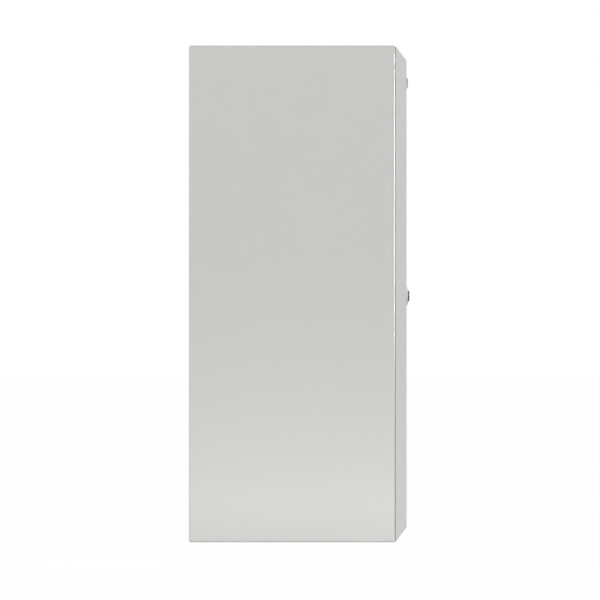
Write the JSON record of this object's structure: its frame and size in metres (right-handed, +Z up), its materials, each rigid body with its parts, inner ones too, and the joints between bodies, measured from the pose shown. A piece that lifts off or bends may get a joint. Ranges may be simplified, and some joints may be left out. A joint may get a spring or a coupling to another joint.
{
  "type": "steel wall enclosure",
  "caption": "Folded steel wall enclosure with a bevelled hinged door, rain gutter rim, quarter-turn lock, mounting plate and gland plate.",
  "frame": {"origin": "centre of the four wall holes, on the back face that lies against the wall", "axes": "+Z up, -Y out of the wall towards the door, +X to the right for a person facing the door"},
  "size_m": [0.4, 0.2685, 0.6],
  "materials": {
    "coat": "textured powder coat",
    "zinc": "galvanised",
    "foam": "foamed seal",
    "rubber": "moulded",
    "copper_steel": "copper flash",
    "fastener": "bright zinc",
    "die_cast": "satin nickel",
    "black_plastic": "moulded",
    "pale_plastic": "moulded"
  },
  "bodies": {
    "body": {"body_shell": "coat", "body_top": "coat", "body_bottom": "coat", "gutter_frame": "coat", "gland_plate": "coat", "lock_keeper": "coat", "mounting_plate": "zinc", "hinge_bracket_upper": "zinc", "hinge_bracket_lower": "zinc", "hinge_pin_upper": "zinc", "hinge_pin_lower": "zinc", "gland_plate_seal": "foam", "mounting_studs": "copper_steel", "gland_plate_studs": "copper_steel", "body_earth_stud": "copper_steel", "mounting_washers": "fastener", "mounting_nuts": "fastener", "gland_plate_nuts": "fastener", "body_earth_washer": "fastener", "body_earth_nut": "fastener", "hinge_screws": "fastener", "hinge_weld_nuts": "fastener"},
    "door": {"door_panel": "coat", "door_gasket": "foam", "door_rail_left": "coat", "door_rail_right": "coat", "hinge_arm_upper": "zinc", "hinge_arm_lower": "zinc", "blank_plate": "pale_plastic", "door_earth_stud": "copper_steel", "door_earth_washer": "fastener", "door_earth_nut": "fastener", "lock_housing": "die_cast", "lock_seal": "rubber", "lock_nut": "zinc"},
    "lock": {"lock_insert": "black_plastic", "lock_cam": "zinc", "lock_cam_washer": "fastener", "lock_cam_screw": "fastener"}
  },
  "joints": [
    {"name": "door_swing", "type": "hinge", "parent": "body", "child": "door", "pos_m": [0.192, -0.2352, 0], "axis": [0, 0, 1], "range_deg": [0, 120]},
    {"name": "lock_turn", "type": "hinge", "parent": "door", "child": "lock", "pos_m": [-0.145, -0.2636, -0.0025], "axis": [0, -1, 0], "range_deg": [0, 90]}
  ]
}
